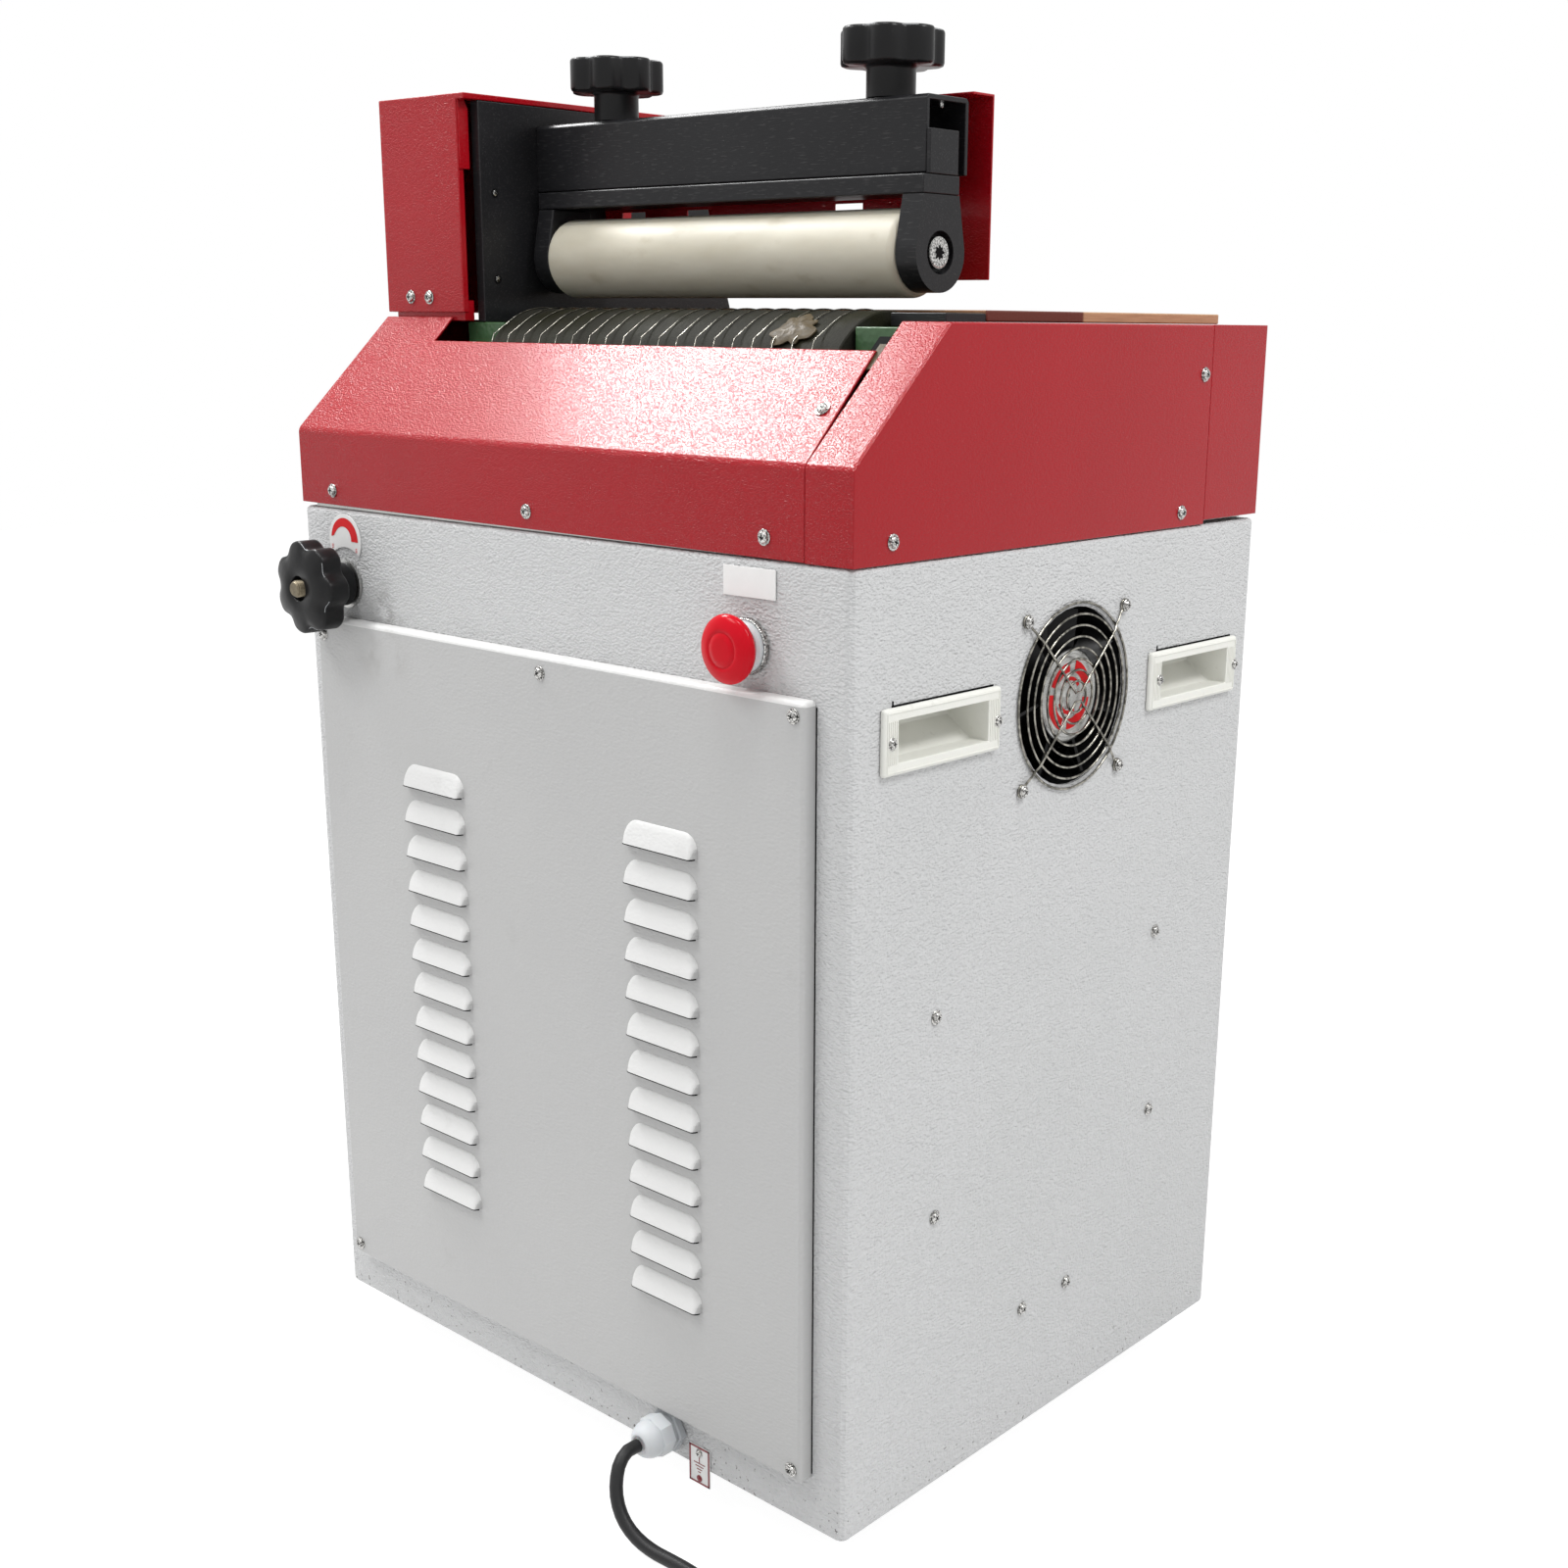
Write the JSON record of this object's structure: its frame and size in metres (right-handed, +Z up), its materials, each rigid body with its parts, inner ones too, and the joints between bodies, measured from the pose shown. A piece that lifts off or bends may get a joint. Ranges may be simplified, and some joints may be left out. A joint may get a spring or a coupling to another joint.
{
  "type": "hot melt gluing machine",
  "caption": "Bench hot melt gluing machine: louvred cabinet, glue roller in a trough, press roller under an adjustable arm, feed table, star knobs, push button and side fan.",
  "frame": {"origin": "middle of the machine's floor area without its cord, on the floor under the feet", "axes": "+Z up; -Y is the front with the louvred door, where the work comes out; +X is the right side with the fan; the work goes in over the table at +Y"},
  "size_m": [0.551, 0.7499, 0.9283],
  "materials": {
    "cabinet_paint": "light grey wrinkle powder coat",
    "door_paint": "light grey paint",
    "red_paint": "red textured powder coat",
    "arm_paint": "satin black",
    "green_paint": "green hammer paint",
    "grey_paint": "grey paint",
    "black_plastic": "black phenolic",
    "grey_plastic": "light grey nylon",
    "ivory_plastic": "ivory moulded plastic",
    "white_plate": "white printed label",
    "red_plastic": "glossy red",
    "nylon": "turned ivory nylon",
    "steel": "bright steel",
    "dark_steel": "dark steel with dried glue",
    "board": "brown hardboard",
    "rubber": "black rubber"
  },
  "bodies": {
    "machine": {"cabinet_shell": "cabinet_paint", "base_plate": "cabinet_paint", "foot_front_left": "rubber", "foot_front_right": "rubber", "foot_rear_left": "rubber", "foot_rear_right": "rubber", "mains_cord": "rubber", "cord_coil": "rubber", "mains_plug": "rubber", "louvre_door": "door_paint", "handle_left_front": "ivory_plastic", "handle_left_rear": "ivory_plastic", "handle_right_front": "ivory_plastic", "handle_right_rear": "ivory_plastic", "fan_frame": "black_plastic", "fan_guard": "steel", "deck_plate": "steel", "wire_comb": "steel", "motor_bracket": "steel", "button_body": "grey_plastic", "cord_gland": "grey_plastic", "label_plate": "white_plate", "dial_plate": "white_plate", "earth_tag": "white_plate", "front_cover": "red_paint", "right_cover": "red_paint", "left_cover": "red_paint", "rear_cover": "red_paint", "column_cover": "red_paint", "rear_guard": "red_paint", "side_frame_left": "green_paint", "side_frame_right": "green_paint", "glue_trough": "dark_steel", "drive_chain": "dark_steel", "gear_motor": "grey_paint", "control_panel": "grey_paint", "side_plate": "arm_paint", "arm_channel": "arm_paint", "side_rail": "arm_paint", "table_board": "board"},
    "fan_rotor": {"fan_rotor": "black_plastic"},
    "stop_button": {"button_head": "red_plastic"},
    "thickness_knob": {"thickness_knob": "black_plastic", "thickness_spindle": "steel"},
    "doctor_blade": {"doctor_blade": "steel"},
    "pressure_knob_left": {"pressure_knob_left": "black_plastic", "pressure_screw_left": "steel"},
    "pressure_knob_right": {"pressure_knob_right": "black_plastic", "pressure_screw_right": "steel"},
    "press_carriage": {"guide_block": "arm_paint", "pressure_bar": "arm_paint", "ear_left": "arm_paint", "ear_right": "arm_paint", "press_axle": "steel"},
    "press_roller": {"press_roller": "nylon"},
    "glue_roller": {"glue_roller": "dark_steel", "roller_sprocket": "steel"},
    "motor_sprocket": {"motor_sprocket": "steel"},
    "power_switch": {"power_switch": "black_plastic"},
    "speed_knob": {"speed_knob": "black_plastic"}
  },
  "joints": [
    {"name": "fan_turn", "type": "hinge", "parent": "machine", "child": "fan_rotor", "pos_m": [0.24545, 0.0089, 0.535], "axis": [1, 0, 0], "continuous": true},
    {"name": "stop_button_press", "type": "slide", "parent": "machine", "child": "stop_button", "axis": [0, 1, 0], "range_m": [0, 0.004], "stiffness_N_per_m": 600},
    {"name": "thickness_knob_turn", "type": "hinge", "parent": "machine", "child": "thickness_knob", "pos_m": [-0.2091, -0.2437, 0.5815], "axis": [0, 1, 0], "range_deg": [-135, 135]},
    {"name": "doctor_blade_shift", "type": "slide", "parent": "machine", "child": "doctor_blade", "axis": [0, 1, 0], "range_m": [-0.00075, 0.00075]},
    {"name": "pressure_knob_left_turn", "type": "hinge", "parent": "machine", "child": "pressure_knob_left", "pos_m": [-0.1021, -0.04095, 0.8888], "axis": [0, 0, 1], "range_deg": [0, 1008.1]},
    {"name": "pressure_knob_right_turn", "type": "hinge", "parent": "machine", "child": "pressure_knob_right", "pos_m": [0.141, -0.04095, 0.8888], "axis": [0, 0, 1], "range_deg": [0, 1008.1]},
    {"name": "press_carriage_shift", "type": "slide", "parent": "machine", "child": "press_carriage", "axis": [0, 0, 1], "range_m": [-0.0042, 0]},
    {"name": "press_roller_turn", "type": "hinge", "parent": "press_carriage", "child": "press_roller", "pos_m": [-0.1399, -0.0494, 0.8005], "axis": [1, 0, 0], "continuous": true},
    {"name": "glue_roller_turn", "type": "hinge", "parent": "machine", "child": "glue_roller", "pos_m": [-0.1426, -0.0779, 0.71], "axis": [1, 0, 0], "continuous": true},
    {"name": "motor_sprocket_turn", "type": "hinge", "parent": "machine", "child": "motor_sprocket", "pos_m": [-0.2251, -0.0529, 0.52], "axis": [1, 0, 0], "continuous": true},
    {"name": "power_switch_turn", "type": "hinge", "parent": "machine", "child": "power_switch", "pos_m": [-0.0911, 0.2257, 0.5], "axis": [0, 1, 0], "range_deg": [0, 90]},
    {"name": "speed_knob_turn", "type": "hinge", "parent": "machine", "child": "speed_knob", "pos_m": [0.0889, 0.2257, 0.5], "axis": [0, 1, 0], "range_deg": [0, 270]}
  ],
  "couplings": [
    {"joint": "thickness_knob_turn", "follows": "doctor_blade_shift", "rad_per_m": 3141.5},
    {"joint": "pressure_knob_left_turn", "follows": "press_carriage_shift", "rad_per_m": -4188.8},
    {"joint": "pressure_knob_right_turn", "follows": "press_carriage_shift", "rad_per_m": -4188.8},
    {"joint": "motor_sprocket_turn", "follows": "glue_roller_turn", "ratio": 1.5}
  ]
}
